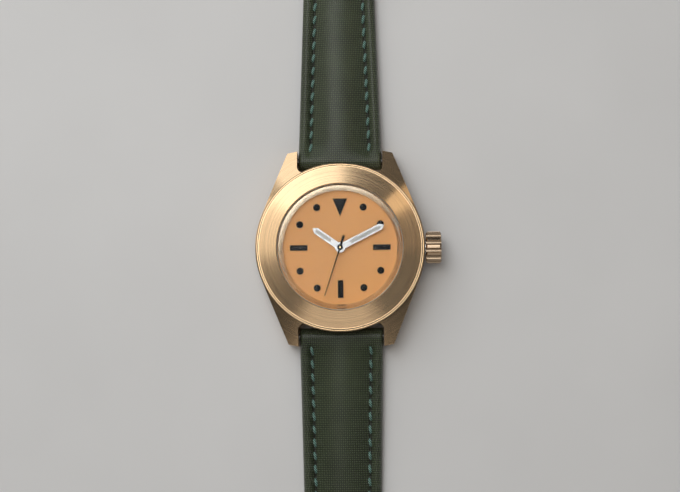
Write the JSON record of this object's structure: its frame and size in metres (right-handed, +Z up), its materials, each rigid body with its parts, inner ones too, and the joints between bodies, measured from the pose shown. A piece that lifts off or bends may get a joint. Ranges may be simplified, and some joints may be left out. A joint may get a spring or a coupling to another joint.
{
  "type": "dive watch",
  "caption": "Round wristwatch with a bronze-coloured brushed case, apricot dial, fluted crown and padded canvas strap with a pin buckle.",
  "frame": {"origin": "centre of the case back's outer face, which the watch rests on", "axes": "+Z up through the dial to the viewer, +Y towards twelve o'clock, +X towards three o'clock and the crown"},
  "size_m": [0.0437, 0.246, 0.0122],
  "materials": {
    "bronze": "concentric brushed bronze, polished bevels",
    "steel_back": "brushed",
    "steel": "satin",
    "plate": "rhodium plated, satin",
    "brass": "satin",
    "spring_steel": "polished",
    "ruby": "polished",
    "gasket": "matte",
    "crystal": "clear",
    "dial_apricot": "matte apricot",
    "marker_black": "gloss black",
    "marker_grey": "matte dark grey",
    "hand_silver": "satin silver",
    "lume_grey": "matte light grey",
    "strap_cloth": "olive woven canvas"
  },
  "bodies": {
    "case": {"case_middle": "bronze", "bezel": "bronze", "crystal": "crystal", "crystal_gasket": "gasket", "rehaut": "plate", "case_back": "steel_back", "case_back_gasket": "gasket", "crown_tube": "steel", "movement_ring": "plate", "dial": "dial_apricot", "hour_markers": "marker_black", "marker_inlays": "marker_grey", "main_plate": "plate", "barrel_bridge": "plate", "train_bridge": "plate", "balance_cock": "plate", "pallet_bridge": "plate", "bridge_screws": "steel", "jewels": "ruby", "rotor_axle": "steel", "lug_spring_bars": "steel"},
    "seconds": {"fourth_wheel": "brass", "seconds_hand": "marker_black"},
    "minutes": {"centre_wheel": "brass", "cannon_pinion": "brass", "minute_hand": "hand_silver", "minute_hand_lume": "lume_grey"},
    "hours": {"hour_wheel": "brass", "hour_hand": "hand_silver", "hour_hand_lume": "lume_grey"},
    "minute_wheel": {"minute_wheel": "brass"},
    "setting_wheel": {"setting_wheel": "brass"},
    "third_wheel": {"third_wheel": "brass"},
    "escape_wheel": {"escape_wheel": "brass"},
    "fork": {"pallet_fork": "steel", "pallet_stones": "ruby"},
    "balance": {"balance_wheel": "brass", "hairspring": "spring_steel"},
    "barrel": {"barrel": "plate", "barrel_cover": "plate"},
    "ratchet": {"ratchet_wheel": "steel", "barrel_arbor": "steel", "mainspring": "spring_steel"},
    "crown_wheel": {"crown_wheel": "steel"},
    "click": {"click": "steel"},
    "winding": {"winding_pinion": "steel"},
    "clutch": {"sliding_pinion": "steel"},
    "stem": {"winding_stem": "steel"},
    "crown": {"crown": "bronze", "crown_gasket": "gasket"},
    "setting_lever": {"setting_lever": "steel"},
    "yoke": {"yoke": "steel"},
    "rotor": {"rotor": "brass"},
    "strap_short": {"strap_buckle_side": "strap_cloth", "fixed_keeper": "strap_cloth"},
    "strap_long": {"strap_tail_side": "strap_cloth"},
    "buckle": {"buckle_frame": "bronze", "buckle_spring_bar": "steel"},
    "tongue": {"buckle_tongue": "bronze"},
    "keeper": {"sliding_keeper": "strap_cloth"}
  },
  "joints": [
    {"name": "seconds_turn", "type": "hinge", "parent": "case", "child": "seconds", "pos_m": [0, 0, 0.009], "axis": [0, 0, 1], "continuous": true},
    {"name": "minute_turn", "type": "hinge", "parent": "case", "child": "minutes", "pos_m": [0, 0, 0.009], "axis": [0, 0, 1], "continuous": true},
    {"name": "hour_turn", "type": "hinge", "parent": "case", "child": "hours", "pos_m": [0, 0, 0.0088], "axis": [0, 0, 1], "continuous": true},
    {"name": "minute_wheel_turn", "type": "hinge", "parent": "case", "child": "minute_wheel", "pos_m": [0.00144, -0.00249, 0.0074], "axis": [0, 0, 1], "continuous": true},
    {"name": "setting_wheel_turn", "type": "hinge", "parent": "case", "child": "setting_wheel", "pos_m": [0.00487, -0.00141, 0.0074], "axis": [0, 0, 1], "continuous": true},
    {"name": "third_wheel_turn", "type": "hinge", "parent": "case", "child": "third_wheel", "pos_m": [-0.00387, -0.00271, 0.005], "axis": [0, 0, 1], "continuous": true},
    {"name": "escape_wheel_turn", "type": "hinge", "parent": "case", "child": "escape_wheel", "pos_m": [0.00118, -0.00439, 0.005], "axis": [0, 0, 1], "continuous": true},
    {"name": "barrel_turn", "type": "hinge", "parent": "case", "child": "barrel", "pos_m": [0.00159, 0.00593, 0.005], "axis": [0, 0, 1], "continuous": true},
    {"name": "fork_rock", "type": "hinge", "parent": "case", "child": "fork", "pos_m": [0.00307, -0.0055, 0.006], "axis": [0, 0, 1], "range_deg": [-5, 5]},
    {"name": "balance_swing", "type": "hinge", "parent": "case", "child": "balance", "pos_m": [0.0046, -0.0064, 0.005], "axis": [0, 0, 1], "range_deg": [-150, 150], "stiffness_Nm_per_rad": 0.0000002},
    {"name": "crown_turn", "type": "hinge", "parent": "case", "child": "winding", "pos_m": [0.0095, 0, 0.0053], "axis": [1, 0, 0], "continuous": true},
    {"name": "crown_wheel_turn", "type": "hinge", "parent": "case", "child": "crown_wheel", "pos_m": [0.00683, 0, 0.0034], "axis": [0, 0, 1], "continuous": true},
    {"name": "ratchet_turn", "type": "hinge", "parent": "case", "child": "ratchet", "pos_m": [0.00159, 0.00593, 0.0031], "axis": [0, 0, 1], "continuous": true},
    {"name": "click_lift", "type": "hinge", "parent": "case", "child": "click", "pos_m": [-0.00605, 0.00728, 0.0031], "axis": [0, 0, 1], "range_deg": [-10, 0]},
    {"name": "stem_pull", "type": "slide", "parent": "winding", "child": "stem", "axis": [1, 0, 0], "range_m": [0, 0.001]},
    {"name": "clutch_shift", "type": "slide", "parent": "winding", "child": "clutch", "axis": [1, 0, 0], "range_m": [-0.00055, 0]},
    {"name": "crown_unscrew", "type": "slide", "parent": "stem", "child": "crown", "axis": [1, 0, 0], "range_m": [0, 0.0006]},
    {"name": "setting_lever_turn", "type": "hinge", "parent": "case", "child": "setting_lever", "pos_m": [0.0112, 0.0024, 0.0075], "axis": [0, 0, 1], "range_deg": [0, 24]},
    {"name": "yoke_turn", "type": "hinge", "parent": "case", "child": "yoke", "pos_m": [0.0073, 0.0032, 0.0075], "axis": [0, 0, 1], "range_deg": [-9.9, 0]},
    {"name": "rotor_spin", "type": "hinge", "parent": "case", "child": "rotor", "pos_m": [0, 0, 0.0025], "axis": [0, 0, 1], "continuous": true},
    {"name": "strap_short_swing", "type": "hinge", "parent": "case", "child": "strap_short", "pos_m": [0, 0.0207, 0.0036], "axis": [1, 0, 0], "range_deg": [-85, 65]},
    {"name": "strap_long_swing", "type": "hinge", "parent": "case", "child": "strap_long", "pos_m": [0, -0.0207, 0.0036], "axis": [-1, 0, 0], "range_deg": [-85, 65]},
    {"name": "buckle_swing", "type": "hinge", "parent": "strap_short", "child": "buckle", "pos_m": [0, 0.0957, 0.0029], "axis": [1, 0, 0], "range_deg": [-75, 60]},
    {"name": "tongue_swing", "type": "hinge", "parent": "buckle", "child": "tongue", "pos_m": [0, 0.0957, 0.0029], "axis": [1, 0, 0], "range_deg": [0, 80]},
    {"name": "keeper_slide", "type": "slide", "parent": "strap_short", "child": "keeper", "axis": [0, -1, 0], "range_m": [0, 0.015]}
  ],
  "couplings": [
    {"joint": "minute_turn", "follows": "seconds_turn", "ratio": 0.016667},
    {"joint": "hour_turn", "follows": "seconds_turn", "ratio": 0.0013889},
    {"joint": "minute_wheel_turn", "follows": "seconds_turn", "ratio": -0.0055556},
    {"joint": "setting_wheel_turn", "follows": "seconds_turn", "ratio": 0.0083333},
    {"joint": "third_wheel_turn", "follows": "seconds_turn", "ratio": -0.13333},
    {"joint": "escape_wheel_turn", "follows": "seconds_turn", "ratio": -12},
    {"joint": "barrel_turn", "follows": "seconds_turn", "ratio": -0.002381},
    {"joint": "crown_wheel_turn", "follows": "crown_turn", "ratio": 0.56667},
    {"joint": "ratchet_turn", "follows": "crown_turn", "ratio": -0.28333},
    {"joint": "clutch_shift", "follows": "stem_pull", "ratio": -0.55},
    {"joint": "setting_lever_turn", "follows": "stem_pull", "rad_per_m": 418.88},
    {"joint": "yoke_turn", "follows": "stem_pull", "rad_per_m": -172.79}
  ]
}
